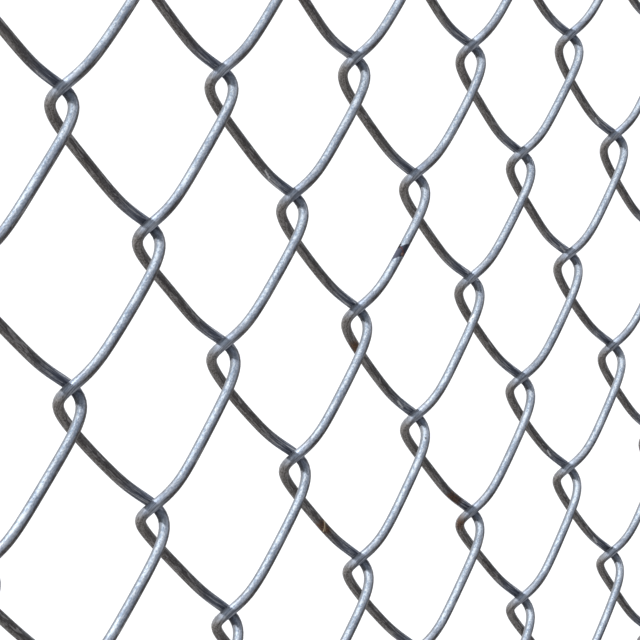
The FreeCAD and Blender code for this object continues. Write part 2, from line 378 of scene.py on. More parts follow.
class Field:
    """Output socket of a node tree whose operators add Math nodes."""

    def __init__(self, tree, socket=None):
        self.tree = tree
        self.socket = socket

    def node(self, kind, sockets=None, output=0, **settings):
        """Adds one node: its settings first, then the values or links of its sockets."""
        item = self.tree.nodes.new(kind)
        for name, value in settings.items():
            setattr(item, name, value)
        for name, value in (sockets or {}).items():
            if isinstance(value, Field):
                self.tree.links.new(value.socket, item.inputs[name])
            else:
                item.inputs[name].default_value = value
        return Field(self.tree, item.outputs[output] if item.outputs else None)

    def math(self, operation, *values):
        """Math node on the given values."""
        return self.node("ShaderNodeMath", dict(enumerate(values)), operation=operation)

    def __add__(self, other):
        return self.math("ADD", self, other)

    def __sub__(self, other):
        return self.math("SUBTRACT", self, other)

    def __rsub__(self, other):
        return self.math("SUBTRACT", other, self)

    def __mul__(self, other):
        return self.math("MULTIPLY", self, other)

    __radd__ = __add__
    __rmul__ = __mul__

    def most(self, other):
        """Greater of two values."""
        return self.math("MAXIMUM", self, other)

    def mixed(self, share, other):
        """Share of this value, with the rest from another."""
        return self * share + other * (1 - share)

    def step(self, low, high):
        """0 below low, 1 above high and a smooth rise between."""
        return self.node(
            "ShaderNodeMapRange",
            {"Value": self, "From Min": low, "From Max": high},
            interpolation_type="SMOOTHSTEP",
        )

    def near(self, inner, outer):
        """1 within inner of zero, 0 beyond outer and a smooth fall between."""
        return 1 - self.math("ABSOLUTE", self).step(inner, outer)

    def blend(self, first, second):
        """Colour that goes from first to second as this value goes from 0 to 1."""
        return self.node(
            "ShaderNodeMix", {0: self, 6: first, 7: second}, output=2, data_type="RGBA"
        )

    def attribute(self, name):
        """Point attribute of three numbers."""
        return self.node("ShaderNodeAttribute", output="Vector", attribute_name=name)

    def stretched(self, across, along):
        """Coordinates scaled across the piece and along it."""
        return self.node(
            "ShaderNodeVectorMath", {0: self, 1: (across, across, along)}, operation="MULTIPLY"
        )

    def noise(self, detail):
        """Cloudy noise, about 0.5, on these coordinates at one unit a cell."""
        return self.node(
            "ShaderNodeTexNoise",
            {"Vector": self, "Scale": 1.0, "Detail": detail, "Roughness": NOISE_ROUGHNESS},
        )

    def dot(self, direction):
        """How far a vector points along a direction."""
        return self.node(
            "ShaderNodeVectorMath", {0: self, 1: direction}, output="Value", operation="DOT_PRODUCT"
        )

    def part(self, axis):
        """One component of a vector."""
        return self.node("ShaderNodeSeparateXYZ", {0: self}, output=axis)

    def bump(self, strength, distance):
        """Normal of a surface that this height roughens."""
        return self.node(
            "ShaderNodeBump", {"Strength": strength, "Distance": distance, "Height": self}
        )


def new_material(name):
    """Empty material with its node graph."""
    material = bpy.data.materials.new(name)
    material.use_nodes = True
    material.node_tree.nodes.clear()
    return material, Field(material.node_tree)


def surface(graph, **sockets):
    """Principled shader with the given sockets, joined to the output."""
    named = {name.replace("_", " "): value for name, value in sockets.items()}
    shader = graph.node("ShaderNodeBsdfPrincipled", named)
    graph.node("ShaderNodeOutputMaterial", {0: shader})


def skin(grid, looped=False):
    """Closed skin over a grid of rings, as its points, its quads and its end faces.

    Quads join each ring to the next and wrap round it. A looped grid joins its
    last ring to its first, and any other gets a flat face on each end ring. The
    faces are turned round where the volume they enclose comes out negative.
    """
    rings, sides, _ = grid.shape
    index = np.arange(rings * sides).reshape(rings, sides)
    here = index if looped else index[:-1]
    beyond = np.roll(index, -1, axis=0)[: len(here)]
    quads = np.stack([here, np.roll(here, -1, 1), np.roll(beyond, -1, 1), beyond], axis=-1)
    quads = quads.reshape(-1, 4)
    ends = np.empty((0, sides), int) if looped else np.stack([index[0][::-1], index[-1]])
    points = grid.reshape(-1, 3)
    a, b, c, d = np.moveaxis((points - points.mean(axis=0))[quads], 1, 0)
    volume = np.sum(a * (np.cross(b, c) + np.cross(c, d)))
    turn = slice(None, None, -1 if volume < 0 else 1)
    return points, quads[:, turn], ends[:, turn]


def mesh_piece(name, skins, material, nodes=(), straight=None, extras=None):
    """One named piece made of closed skins, riding with the bay.

    The straight attribute holds each point's place on the piece laid out
    straight, with its length along z, for patterns that follow the piece, and
    extras holds more point attributes of three numbers by name.
    """
    points = np.concatenate([skin_points for skin_points, _, _ in skins])
    starts = np.cumsum([0] + [len(skin_points) for skin_points, _, _ in skins])
    faces = [
        part + start
        for (_, quads, ends), start in zip(skins, starts)
        for part in (quads, ends)
        if len(part)
    ]
    loops = np.concatenate([part.ravel() for part in faces])
    sizes = np.concatenate([np.full(len(part), part.shape[1]) for part in faces])
    mesh = bpy.data.meshes.new(name)
    mesh.vertices.add(len(points))
    mesh.vertices.foreach_set("co", points.astype(np.float32).ravel())
    mesh.loops.add(len(loops))
    mesh.loops.foreach_set("vertex_index", loops.astype(np.int32))
    mesh.polygons.add(len(sizes))
    mesh.polygons.foreach_set("loop_start", (np.cumsum(sizes) - sizes).astype(np.int32))
    mesh.polygons.foreach_set("use_smooth", np.ones(len(sizes), dtype=bool))
    layout = points if straight is None else np.concatenate(straight)
    for attribute, values in {"straight": layout, **(extras or {})}.items():
        field = mesh.attributes.new(attribute, "FLOAT_VECTOR", "POINT")
        field.data.foreach_set("vector", values.astype(np.float32).ravel())
    mesh.update(calc_edges=True)
    mesh.set_sharp_from_angle(angle=math.radians(SHARP_ANGLE))
    mesh.materials.append(material)
    piece = bpy.data.objects.new(name, mesh)
    bpy.context.scene.collection.objects.link(piece)
    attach(piece, "root")
    if nodes:
        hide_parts(*nodes)


def unit(vectors):
    """Vectors brought to a length of 1."""
    return vectors / np.linalg.norm(vectors, axis=-1, keepdims=True)


def length_along(path):
    """Running length of a path at each of its points."""
    return np.concatenate([[0], np.cumsum(np.linalg.norm(np.diff(path, axis=0), axis=1))])


def round_wire(path, radius, sides, reference):
    """Rings of a round wire: path point + radius * (cos a * N + sin a * B).

    N is the tangent crossed with the reference direction, and B is the tangent
    crossed with N. The second array is the same wire laid out straight.
    """
    tangent = unit(np.gradient(path, axis=0))
    normal = unit(np.cross(tangent, reference))
    binormal = np.cross(tangent, normal)
    angle = np.linspace(0, 2 * np.pi, sides, endpoint=False)
    circle = np.stack([np.cos(angle), np.sin(angle)], axis=1) * radius
    along_normal = circle[None, :, :1] * normal[:, None]
    along_binormal = circle[None, :, 1:] * binormal[:, None]
    grid = path[:, None] + along_normal + along_binormal
    straight = np.empty_like(grid)
    straight[..., :2] = circle
    straight[..., 2] = length_along(path)[:, None]
    return grid, straight


def turned(profile, centre, axis, sides=TUBE_SIDES):
    """Profile of (radius, height) turned about an axis through the centre.

    Point (i, a) is centre + radius_i * (cos a * P + sin a * Q) + height_i * axis,
    with P and Q square to the axis. The second array leaves out the centre and
    has the axis along z.
    """
    across = np.roll(axis, 1)
    beside = np.cross(axis, across)
    angle = np.linspace(0, 2 * np.pi, sides, endpoint=False)
    radius, height = profile[:, :1], profile[:, 1:]
    level = np.broadcast_to(height, (len(profile), sides))
    straight = np.stack([radius * np.cos(angle), radius * np.sin(angle), level], axis=-1)
    grid = centre + straight @ np.stack([across, beside, axis])
    return grid, straight


def polar(radius, height, angle, centre):
    """Surface centre + radius(i, a) * (cos a * Z + sin a * X) + height(i) * Y."""
    grid = np.empty((len(height), len(angle), 3))
    grid[..., 2] = radius * np.cos(angle)
    grid[..., 0] = radius * np.sin(angle)
    grid[..., 1] = height[:, None]
    return grid + centre


def rounded_rectangle(width, height, corner, steps=4):
    """Closed outline of a rectangle about the origin with quarter arcs at its corners.

    Each arc has one more point on either side, one corner radius along the
    straight, which keeps the flats flat when they are shaded.
    """
    quarter = np.arange(4)[:, None] * np.pi / 2
    angle = quarter + np.linspace(0, np.pi / 2, steps + 1)
    ray = np.stack([np.cos(angle), np.sin(angle)], axis=-1)
    heading = np.stack([-ray[..., 1], ray[..., 0]], axis=-1)
    halfway = quarter + np.pi / 4
    diagonal = np.sign(np.stack([np.cos(halfway), np.sin(halfway)], axis=-1))
    centre = diagonal * (np.array([width, height]) / 2 - corner)
    arc = centre + corner * ray
    before = arc[:, :1] - corner * heading[:, :1]
    after = arc[:, -1:] + corner * heading[:, -1:]
    return np.concatenate([before, arc, after], axis=1).reshape(-1, 2)


def arc_points(centre, radius, start, stop, steps):
    """Points of a circular arc in the plane, from one angle to another."""
    angle = np.linspace(start, stop, steps)
    return np.asarray(centre) + radius * np.stack([np.cos(angle), np.sin(angle)], axis=1)


weave = np.random.default_rng(WEAVE_SEED)
knot_shifts = weave.uniform(-1, 1, (len(pickets) + 1, 2 * ROWS + 1, 3)) * KNOT_SHIFT
knot_shifts[[0, -1]] = 0
knot_shifts[:, [0, 1, -2, -1]] = 0
leg_bows = weave.uniform(-1, 1, (len(pickets), 2 * ROWS, 3)) * LEG_BOW
leg_bows[:, [0, 1, -2, -1]] = 0
hook_slack = weave.uniform(0, HOOK_SLACK, (len(pickets), 2 * ROWS + 1))
hook_slack[:, [0, 1, -2, -1]] = 0
hook_slack[[0, -1]] = 0


def picket_path(turn):
    """Flattened helix of one woven wire at each turn below its top left hook.

    With u = 2 pi turn,
        x = -reach * arcsin(k cos u) / arcsin(k)
        y = depth * tanh(m sin u) / tanh(m)
        z = -diamond * turn
    and past the first and last hook z turns back as a cubic, which closes the
    knuckled ends.
    """
    u = 2 * np.pi * turn
    x = -HOOK_REACH * np.arcsin(BEND_SHARPNESS * np.cos(u)) / np.arcsin(BEND_SHARPNESS)
    y = LEG_DEPTH * np.tanh(CROSSING_STEEPNESS * np.sin(u)) / np.tanh(CROSSING_STEEPNESS)
    fall = DIAMOND / (2 * np.pi)
    turn_back = (fall * KNUCKLE_TURN + KNUCKLE_DROP) / KNUCKLE_TURN**3
    before = np.clip(-u, 0, None)
    after = np.clip(u - 2 * np.pi * ROWS, 0, None)
    z = -fall * u - turn_back * before**3 + turn_back * after**3
    return np.stack([x, y, z], axis=1)


def bell(distance, spread):
    """Smooth hump exp(-(distance / spread)^2)."""
    return np.exp(-((distance / spread) ** 2))


def unevenness(index, turn):
    """Shift of a wire at each turn: its knots' shifts, a bow in each leg and slack in each hook.

    Both wires of a knot take the knot's one shift, eased from knot to knot, so
    that they stay hooked. Slack draws a hook's tip further out along x.
    """
    half_turn = np.clip(2 * turn, 0, 2 * ROWS - TINY)
    leg = half_turn.astype(int)
    part = half_turn - leg
    ease = (1 - np.cos(np.pi * part))[:, None] / 2
    knot = np.arange(2 * ROWS + 1)
    shifts = knot_shifts[index + (index + knot) % 2, knot]
    bow = np.sin(np.pi * part)[:, None] ** 2 * leg_bows[index][leg]
    hook = np.rint(half_turn).astype(int)
    outward = 2 * ((hook + index) % 2) - 1
    slack = outward * hook_slack[index][hook] * bell(half_turn - hook, HOOK_SPAN)
    return (1 - ease) * shifts[leg] + ease * shifts[leg + 1] + bow + slack[:, None] * X_AXIS


def distance_from(marks, name, turn, run):
    """Signed length along a wire from the nearest of its marks of one kind."""
    nearest = np.full(len(run), FAR_FROM_MARKS)
    for picket, place in marks:
        if picket == name:
            gap = run - np.interp(place, turn, run)
            nearest = np.where(np.abs(gap) < np.abs(nearest), gap, nearest)
    return nearest


def nearness(from_hook, place, spread):
    """Hump at one place of every turn of a wire, by the distance round the turn."""
    return bell((from_hook - place + 0.5) % 1 - 0.5, spread)


def woven_wire(index, name, material):
    """One picket, turned half round for every other one, at its CAD node's place."""
    end = KNUCKLE_TURN / (2 * np.pi)
    turn = np.linspace(-end, ROWS + end, STEPS_PER_TURN * ROWS + KNUCKLE_STEPS)
    path = picket_path(turn)
    if index % 2:
        path[:, :2] *= -1
    path += np.array([AXES[index, 0], FABRIC_Y, SELVAGE_TOP]) + unevenness(index, turn)
    grid, straight = round_wire(path, WIRE_RADIUS, WIRE_SIDES, Y_AXIS)
    run = straight[:, 0, 2]
    marks, small_marks = (
        np.stack([distance_from(kind, name, turn, run) for kind in kinds], axis=1)
        for kinds in ((SCARS, RUST_SPOTS, BRIGHT_CHIPS), (SCRATCHES, PITS, ()))
    )
    from_hook = turn + (index % 2) / 2
    # Where the knots gather dirt and painted shade, and where painted shadow lies on top of the
    # right hooks
    knot_dirt_and_shade, shadow_pocket = (
        np.stack([nearness(from_hook, *place) for place in places], axis=1)
        for places in ((HOOK_DIRT_AND_SHADE, CROSSING_DIRT_AND_SHADE, KNOT_RUB_AND_SHADOW), (KNOT_SHADOW_POCKET,) * 3)
    )
    extras = {"marks": marks, "small_marks": small_marks, "knot_dirt_and_shade": knot_dirt_and_shade, "shadow_pocket": shadow_pocket}
    extras = {kind: np.repeat(values, WIRE_SIDES, axis=0) for kind, values in extras.items()}
    layout = (straight + PATTERN_SHIFT * index * X_AXIS).reshape(-1, 3)
    piece = f"woven_{name}"
    mesh_piece(piece, [skin(grid)], material, [name], [layout], extras)


def hollow_tube(name, node, axis, wall, material):
    """Tube with rounded ends: a rounded wall section turned about the tube's axis."""
    low, high = corners(node)
    span = high - low
    length = span @ axis
    radius = (span.sum() - length) / 4
    profile = rounded_rectangle(wall, length, TUBE_EDGE) + np.array([radius - wall / 2, 0])
    grid, straight = turned(profile, (low + high) / 2, axis)
    layout = (straight + low).reshape(-1, 3)
    mesh_piece(name, [skin(grid, looped=True)], material, [node], [layout])


def eased(points, setback):
    """Polyline with each inner corner replaced by a parabola.

    The parabola leaves and meets the lines a setback away from the corner.
    """
    corner, ahead, behind = points[1:-1], points[2:], points[:-2]
    start = corner + setback * unit(behind - corner)
    stop = corner + setback * unit(ahead - corner)
    t = np.linspace(0, 1, CAP_EASE_STEPS)[:, None]
    curve = (1 - t) ** 2 * start[:, None] + 2 * t * (1 - t) * corner[:, None]
    curve = curve + t**2 * stop[:, None]
    return np.concatenate([points[:1], curve.reshape(-1, 2), points[-1:]])


def cap_profile(radius, bore, skirt, top):
    """Half section of a cap from the middle of its crown round to its ceiling.

    The height is 0 at the rim. A flat, a cone and a skirt with eased corners
    make the outside, an arc the rolled rim, and the inside follows the bore.
    """
    wall_radius = bore + CAP_SKIRT_WALL
    cone_foot = top - CAP_RISE
    outside = eased(np.array([
        [POLE * bore, top],
        [CAP_FLAT_RADIUS, top],
        [wall_radius - CAP_SHOULDER, cone_foot + CAP_SHOULDER_LIFT],
        [wall_radius, cone_foot - CAP_SHOULDER],
        [wall_radius, CAP_BEAD_TOP],
    ]), CAP_SHOULDER_EASE)
    bead_middle = (radius - CAP_BEAD, CAP_BEAD)
    bead = arc_points(bead_middle, CAP_BEAD, CAP_BEAD_START, -np.pi, CAP_BEAD_STEPS)
    bead[:, 0] = np.maximum(bead[:, 0], bore)
    inside = np.array([[bore, CAP_BEAD], [bore, skirt - 2 * CAP_BEAD]])
    ceiling = np.array([[bore - CAP_BEAD, skirt - CAP_BEAD], [POLE * bore, skirt - CAP_BEAD]])
    return np.concatenate([outside, bead, inside, ceiling])


def post_caps(material):
    """Coned cap over each post, as wide and as tall as its CAD node."""
    low, high = corners("post_caps")
    radius = (high[1] - low[1]) / 2
    skins, layout = [], []
    for post in ("left_post", "right_post"):
        middle = middle_of(post)
        bore = span_of(post)[1] / 2 + SEAT_GAP
        ceiling = corners(post)[1][2] + SEAT_GAP + CAP_BEAD
        profile = cap_profile(radius, bore, ceiling - low[2], high[2] - low[2])
        grid, straight = turned(profile, np.array([middle[0], middle[1], low[2]]), Z_AXIS)
        skins.append(skin(grid))
        layout.append((straight + middle).reshape(-1, 3))
    mesh_piece("coned_post_caps", skins, material, ["post_caps"], layout)


def strap_plan(bore, front, back, reach):
    """Plan of a strap's middle line: in by the front ear, round the post, out by the back ear.

    Each ear lies on a line y = constant, and a bend arc of the radius r that
    touches both that line and the ring joins them: its centre is r outside the
    line and (ring radius + r) from the post's axis.
    """
    ring = bore + BAND_THICK / 2
    front_y = front - BAND_BEND
    back_y = back + BAND_BEND
    front_x = np.sqrt(np.clip((ring + BAND_BEND) ** 2 - front_y**2, 0, None))
    back_x = np.sqrt(np.clip((ring + BAND_BEND) ** 2 - back_y**2, 0, None))
    front_turn = np.arctan2(front_y, front_x)
    back_turn = np.arctan2(back_y, back_x)
    front_bend = (np.pi / 2, front_turn + np.pi, BAND_BEND_STEPS)
    back_bend = (back_turn - np.pi, -np.pi / 2, BAND_BEND_STEPS)
    plan = np.concatenate([
        np.linspace((reach, front), (front_x, front), EAR_STEPS),
        arc_points((front_x, front_y), BAND_BEND, *front_bend),
        arc_points((0, 0), ring, front_turn, back_turn - 2 * np.pi, BAND_RING_STEPS),
        arc_points((back_x, back_y), BAND_BEND, *back_bend),
        np.linspace((back_x, back), (reach, back), EAR_STEPS),
    ])
    fresh = np.linalg.norm(np.diff(plan, axis=0), axis=1) > TINY
    return plan[np.concatenate([[True], fresh])]


def ear_share(to_end):
    """Share of a strip's height at a distance from its end, where quarter arcs round the corners."""
    inside = np.clip(EAR_CORNER - to_end, 0, None)
    cut = EAR_CORNER - np.sqrt(EAR_CORNER**2 - inside**2)
    return 1 - cut / (BAND_HEIGHT / 2)


def strap(post, hand, z, front, back, reach):
    """Strap round a post: a rounded strip section carried along the strap's plan.

    The section keeps its height but for the last few millimetres of each ear,
    where a quarter arc rounds the corners off. hand is 1 for ears that point to
    +X and -1 for the mirrored strap.
    """
    middle = middle_of(post)
    plan = strap_plan(span_of(post)[1] / 2 + SEAT_GAP, front, back, reach)
    run = length_along(plan)
    end = run[-1]
    between = np.linspace(EAR_CORNER, end - EAR_CORNER, BAND_STATIONS)[1:-1]
    stations = np.concatenate([EAR_STATIONS, between, end - EAR_STATIONS[::-1]])
    heading = unit(np.gradient(plan, axis=0))
    path, heading = (
        np.stack([np.interp(stations, run, line[:, axis]) for axis in (0, 1)], axis=1)
        for line in (plan, heading)
    )
    heading = unit(heading)
    height = ear_share(np.minimum(stations, end - stations))
    section = rounded_rectangle(BAND_THICK, BAND_HEIGHT, BAND_EDGE, BAND_EDGE_STEPS)
    grid = np.empty((len(path), len(section), 3))
    grid[..., 0] = middle[0] + hand * (path[:, :1] - heading[:, 1:] * section[:, 0])
    grid[..., 1] = middle[1] + path[:, 1:] + heading[:, :1] * section[:, 0]
    grid[..., 2] = z + height[:, None] * section[:, 1]
    straight = np.empty_like(grid)
    straight[..., :2] = section + z
    straight[..., 2] = stations[:, None]
    return skin(grid), straight.reshape(-1, 3)


def bolt(x, y, z, grip):
    """Carriage bolt along +Y from its domed head in front to its nut behind the grip.

    The head is a cap of a sphere, the nut a hexagon that a cone cuts at both
    ends, and the thread a triangle wave of the height in pitches less the angle
    in turns.
    """
    front = np.array([x, y, z])
    behind = front + grip * Y_AXIS
    sphere = (BOLT_HEAD_RADIUS**2 + BOLT_HEAD_RISE**2) / (2 * BOLT_HEAD_RISE)
    crown = -np.pi / 2
    rim = crown + np.arcsin(BOLT_HEAD_RADIUS / sphere)
    dome_middle = (0, sphere - BOLT_HEAD_RISE)
    dome = arc_points(dome_middle, sphere, crown + POLE, rim, BOLT_HEAD_STEPS)
    seat_edge = BOLT_HEAD_RADIUS - BOLT_HEAD_EDGE
    under = np.array([[seat_edge, BOLT_HEAD_SEAT], [BOLT_HEAD_SEAT, BOLT_HEAD_SEAT]])
    head, _ = turned(np.concatenate([dome, under]), front, Y_AXIS, BOLT_HEAD_SIDES)

    angle = np.linspace(0, 2 * np.pi, BOLT_SIDES, endpoint=False)
    sixth = np.pi / 3
    flats = (NUT_FLATS / 2) / np.cos((angle + sixth / 2) % sixth - sixth / 2)
    cone = NUT_FLATS / 2 * NUT_CONE
    nut = polar(np.minimum(flats, cone[:, None]), NUT_RISE * NUT_THICK, angle, behind)

    height = np.linspace(0, 1, BOLT_RINGS) * (NUT_THICK + BOLT_PROUD)
    wave = np.abs(((height[:, None] / BOLT_PITCH - angle / (2 * np.pi)) % 1) * 2 - 1)
    point = np.clip((height[-1] - height) / BOLT_POINT, 0, 1)[:, None]
    depth = BOLT_THREAD * (wave * point + BOLT_POINT_TAPER * (1 - point))
    shank = polar(BOLT_RADIUS - depth, height, angle, behind)
    return [skin(head), skin(nut), skin(shank)]


def bands_and_bolts(side, hand, strip, zinc):
    """Tension and brace bands of one post with their carriage bolts."""
    post = f"{side}_post"
    post_x = middle_of(post)[0]
    bar = f"{side}_tension_bar"
    bar_end = ends_of(bar, hand)[1]
    bolts = []
    for kind, middle, clasped in (
        ("tension", FABRIC_Y, span_of(bar)[1]),
        ("brace", middle_of("top_rail")[1], TAB_THICK),
    ):
        node = f"{side}_{kind}_bands"
        low, high = corners(node)
        back, ear = ends_of(node, hand)
        root = bar_end if kind == "tension" else 2 * post_x - back
        half = clasped / 2 + SEAT_GAP + BAND_THICK / 2
        reach = abs(ear - post_x)
        levels = (low[2] + BAND_HEIGHT / 2, high[2] - BAND_HEIGHT / 2)
        made = [strap(post, hand, z, middle - half, middle + half, reach) for z in levels]
        skins, layout = zip(*made)
        mesh_piece(f"{side}_{kind}_straps", skins, strip, [node], layout)
        clasp = half + BAND_THICK / 2
        for z in levels:
            bolts += bolt((root + ear) / 2, middle - clasp, z, 2 * clasp)
    mesh_piece(f"{side}_carriage_bolts", bolts, zinc)


def rail_ends(side, hand, material):
    """Cups over the rail ends, each with a flat tab towards the post.

    The cup is a turned half section: base, shoulder arc, wall, rounded lip,
    bore and floor. The tab is a rounded strip carried along X.
    """
    node = f"{side}_rail_ends"
    near, far = ends_of(node, hand)
    brace_ear = ends_of(f"{side}_brace_bands", hand)[1]
    depth = hand * (far - brace_ear) - SEAT_GAP
    base = far - hand * depth
    bore = span_of("top_rail")[1] / 2 + SEAT_GAP
    radius = bore + CUP_WALL
    lip = CUP_WALL / 2
    shoulder = (radius - CUP_SHOULDER, CUP_SHOULDER)
    profile = np.concatenate([
        np.array([[POLE * radius, 0], [CUP_BASE_SHARE * radius, 0]]),
        arc_points(shoulder, CUP_SHOULDER, -np.pi / 2, 0, CUP_STEPS),
        np.array([[radius, CUP_WALL_START], [radius, depth - 2 * lip]]),
        arc_points((radius - lip, depth - lip), lip, 0, np.pi, CUP_STEPS),
        np.array([[bore, depth - 2 * lip], [bore, CUP_FLOOR_EDGE]]),
        np.array([[CUP_FLOOR_SHARE * bore, CUP_WALL], [POLE * bore, CUP_WALL]]),
    ])
    length = abs(base - near)
    stations = np.concatenate([EAR_STATIONS, [length * TAB_MIDDLE, length + CUP_WALL / 2]])
    section = rounded_rectangle(TAB_THICK, BAND_HEIGHT, TAB_EDGE)
    skins, layout = [], []
    for rail in ("bottom_rail", "top_rail"):
        middle = middle_of(rail)
        grid, straight = turned(profile, np.array([base, middle[1], middle[2]]), hand * X_AXIS)
        skins.append(skin(grid))
        layout.append((straight + middle).reshape(-1, 3))
        tab = np.empty((len(stations), len(section), 3))
        tab[..., 0] = near + hand * stations[:, None]
        tab[..., 1] = middle[1] + section[:, 0]
        tab[..., 2] = middle[2] + ear_share(stations)[:, None] * section[:, 1]
        skins.append(skin(tab))
        layout.append(tab.reshape(-1, 3))
    mesh_piece(f"{side}_rail_cups", skins, material, [node], layout)


def tension_bar(side, material):
    """Flat bar: a rounded section carried up the bar, drawn in a little at its cut ends."""
    node = f"{side}_tension_bar"
    low, high = corners(node)
    middle = (low + high) / 2
    span = high - low
    section = rounded_rectangle(span[0], span[1], BAR_EDGE)
    shrink = BAR_EDGE - np.sqrt(BAR_EDGE**2 - (BAR_EDGE - BAR_INSETS) ** 2)
    height = np.concatenate([BAR_INSETS, BAR_LEVELS * span[2], span[2] - BAR_INSETS[::-1]])
    drawn = np.concatenate([shrink, np.zeros(len(BAR_LEVELS)), shrink[::-1]])
    grid = np.empty((len(height), len(section), 3))
    grid[..., 0] = middle[0] + section[:, 0] * (1 - 2 * drawn[:, None] / span[0])
    grid[..., 1] = middle[1] + section[:, 1] * (1 - 2 * drawn[:, None] / span[1])
    grid[..., 2] = low[2] + height[:, None]
    mesh_piece(f"{side}_flat_bar", [skin(grid)], material, [node])


def tie_path(leg_x, leg_y, rail_y, rail_radius, z):
    """Tie wire drawn tight round one leg of the fabric and the rail, like a belt on two pulleys.

    With a and b the radii at the leg and the rail and d their distance, the two
    straight runs leave both circles at 90 degrees plus arcsin((b - a) / d). Both
    ends lap on round the leg, one beside the other.
    """
    at_leg = TIE_LEG_RADIUS + TIE_RADIUS
    at_rail = rail_radius + TIE_RADIUS
    lean = np.pi / 2 + np.arcsin((at_rail - at_leg) / (rail_y - leg_y))
    off = 2 * np.pi - lean
    flat = np.concatenate([
        arc_points((leg_y, z), at_leg, lean + TIE_OVERLAP, lean, TIE_LAP_STEPS),
        arc_points((rail_y, z), at_rail, lean, -lean, TIE_RAIL_STEPS),
        arc_points((leg_y, z), at_leg, off, off - TIE_OVERLAP, TIE_LAP_STEPS),
    ])
    run = length_along(flat)
    even = np.linspace(0, run[-1], TIE_RINGS)
    path = np.empty((len(even), 3))
    path[:, 0] = leg_x + TIE_LEAN * (2 * even / run[-1] - 1)
    path[:, 1] = np.interp(even, run, flat[:, 0])
    path[:, 2] = np.interp(even, run, flat[:, 1])
    return path


def rail_ties(level, material):
    """The ties of one rail, each at its CAD node's place."""
    node = f"{level}_rail_ties"
    rail = f"{level}_rail"
    low, high = corners(node)
    _, rail_y, rail_z = middle_of(rail)
    rail_radius = span_of(rail)[2] / 2
    skins, layout = [], []
    for x in (low[0] + TIE_RADIUS, high[0] - TIE_RADIUS):
        path = tie_path(x, FABRIC_Y + LEG_DEPTH, rail_y, rail_radius, rail_z)
        grid, straight = round_wire(path, TIE_RADIUS, TIE_SIDES, X_AXIS)
        skins.append(skin(grid))
        layout.append((straight + x * X_AXIS).reshape(-1, 3))
    mesh_piece(f"{level}_tie_wires", skins, material, [node], layout)


